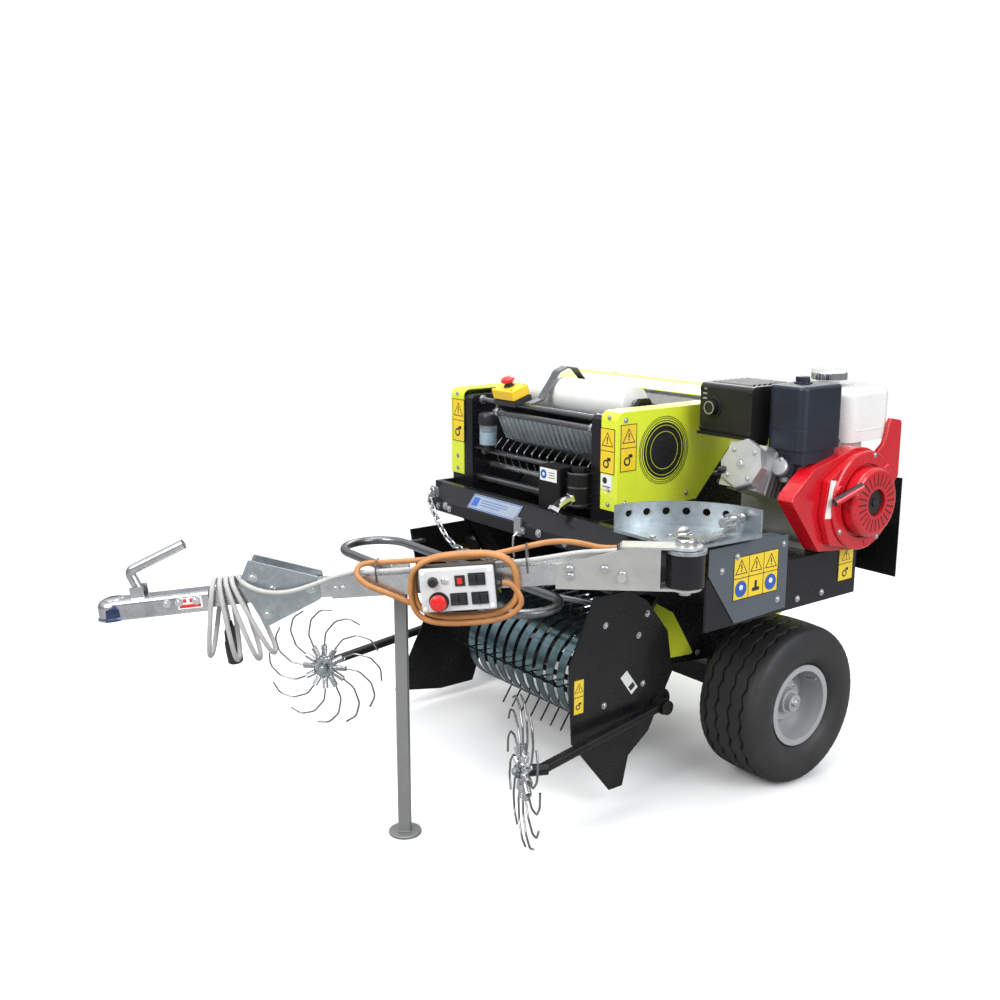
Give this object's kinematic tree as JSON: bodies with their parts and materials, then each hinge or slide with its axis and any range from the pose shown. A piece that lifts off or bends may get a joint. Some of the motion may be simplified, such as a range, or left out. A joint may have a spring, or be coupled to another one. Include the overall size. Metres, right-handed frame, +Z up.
{
  "type": "towed round baler",
  "caption": "Small towed round baler with its own engine, tined pickup, finger wheels, swing drawbar with ball coupling and parking jack; it rolls and nets small round bales.",
  "frame": {"origin": "middle of the overall box, on the ground", "axes": "+X to the machine's left, where the engine is; -Y the way it is towed; +Z up"},
  "size_m": [1.5245, 2.0919, 1.156],
  "materials": {
    "black_paint": "gloss",
    "black_plastic": "satin",
    "cable_grey": "satin",
    "cast_alloy": "cast",
    "cover_green": "gloss",
    "galvanised": "satin",
    "grey_paint": "satin",
    "hose_orange": "satin",
    "net_white": "matte",
    "red_paint": "gloss",
    "rim_silver": "satin",
    "steel": "satin",
    "stop_yellow": "gloss",
    "tyre_rubber": "matte",
    "white_paint": "gloss",
    "zinc": "satin"
  },
  "bodies": {
    "chassis": {"axle": "black_paint", "side_frame_left": "black_paint", "side_frame_right": "black_paint", "side_cover_left": "cover_green", "side_cover_right": "cover_green", "lower_guards": "cover_green", "chamber_plates": "black_paint", "front_rollers": "steel", "hinge_pins": "zinc", "front_rods": "zinc", "net_guide": "galvanised", "net_comb": "zinc", "net_brake": "zinc", "drive_unit": "black_paint", "oiler": "black_plastic", "stop_box": "stop_yellow", "front_beam": "black_paint", "sector": "zinc", "pickup_plate_left": "black_paint", "pickup_plate_right": "black_paint", "pickup_bands": "galvanised", "crop_hoop": "zinc", "engine_platform": "black_paint", "corner_guard": "black_paint", "engine_block": "cast_alloy", "fan_cover": "red_paint", "recoil": "red_paint", "fuel_tank": "white_paint", "air_cleaner": "black_plastic", "muffler": "black_paint"},
    "drawbar": {"drawbar_bracket": "grey_paint", "pivot_pin": "zinc", "drawbar_tube": "zinc", "inner_tubes": "zinc", "gusset": "zinc", "coupler": "zinc", "control_box": "black_plastic", "control_hose": "hose_orange", "hose_lead": "hose_orange", "hose_coil": "hose_orange", "power_cable": "cable_grey", "cable_hank": "cable_grey", "plug_lead": "cable_grey", "cable_plug": "black_plastic"},
    "jack": {"jack_leg": "grey_paint"},
    "coupler_handle": {"coupler_handle": "zinc"},
    "tailgate": {"tailgate": "cover_green", "tail_rollers": "steel"},
    "hood": {"hood": "cover_green"},
    "net_roll": {"net_roll": "net_white"},
    "pickup_reel": {"pickup_reel": "steel"},
    "wheel_left": {"tyre_left": "tyre_rubber", "rim_left": "rim_silver"},
    "wheel_right": {"tyre_right": "tyre_rubber", "rim_right": "rim_silver"},
    "finger_arm_left": {"finger_arm_left": "black_paint"},
    "finger_arm_right": {"finger_arm_right": "black_paint"},
    "finger_wheel_left": {"finger_wheel_left": "steel"},
    "finger_wheel_right": {"finger_wheel_right": "steel"}
  },
  "joints": [
    {"name": "wheel_left_spin", "type": "hinge", "parent": "chassis", "child": "wheel_left", "pos_m": [0.504, 0.609, 0.2285], "axis": [1, 0, 0], "continuous": true},
    {"name": "wheel_right_spin", "type": "hinge", "parent": "chassis", "child": "wheel_right", "pos_m": [-0.656, 0.609, 0.2285], "axis": [1, 0, 0], "continuous": true},
    {"name": "drawbar_swing", "type": "hinge", "parent": "chassis", "child": "drawbar", "pos_m": [0.664, 0.049, 0.746], "axis": [0, 0, 1], "range_deg": [0, 72]},
    {"name": "jack_slide", "type": "slide", "parent": "drawbar", "child": "jack", "axis": [0, 0, 1], "range_m": [0, 0.3]},
    {"name": "coupler_handle_lift", "type": "hinge", "parent": "drawbar", "child": "coupler_handle", "pos_m": [-0.19697, -0.95551, 0.65516], "axis": [0.8027, -0.5963, 0], "range_deg": [0, 35]},
    {"name": "tailgate_lift", "type": "hinge", "parent": "chassis", "child": "tailgate", "pos_m": [-0.076, 0.759, 1.056], "axis": [1, 0, 0], "range_deg": [0, 65]},
    {"name": "hood_lift", "type": "hinge", "parent": "chassis", "child": "hood", "pos_m": [-0.076, 0.721, 1.07], "axis": [-1, 0, 0], "range_deg": [0, 65]},
    {"name": "net_roll_spin", "type": "hinge", "parent": "chassis", "child": "net_roll", "pos_m": [-0.076, 0.344, 1.053], "axis": [1, 0, 0], "continuous": true},
    {"name": "pickup_reel_spin", "type": "hinge", "parent": "chassis", "child": "pickup_reel", "pos_m": [-0.076, 0.269, 0.262], "axis": [1, 0, 0], "continuous": true},
    {"name": "finger_arm_left_float", "type": "hinge", "parent": "chassis", "child": "finger_arm_left", "pos_m": [0.39, 0.239, 0.262], "axis": [-1, 0, 0], "range_deg": [0, 12]},
    {"name": "finger_wheel_left_spin", "type": "hinge", "parent": "finger_arm_left", "child": "finger_wheel_left", "pos_m": [0.426, -0.249, 0.214], "axis": [0.4384, 0.8988, 0], "continuous": true},
    {"name": "finger_arm_right_float", "type": "hinge", "parent": "chassis", "child": "finger_arm_right", "pos_m": [-0.542, 0.239, 0.262], "axis": [-1, 0, 0], "range_deg": [0, 12]},
    {"name": "finger_wheel_right_spin", "type": "hinge", "parent": "finger_arm_right", "child": "finger_wheel_right", "pos_m": [-0.566, -0.259, 0.196], "axis": [-0.6428, 0.766, 0], "continuous": true}
  ]
}
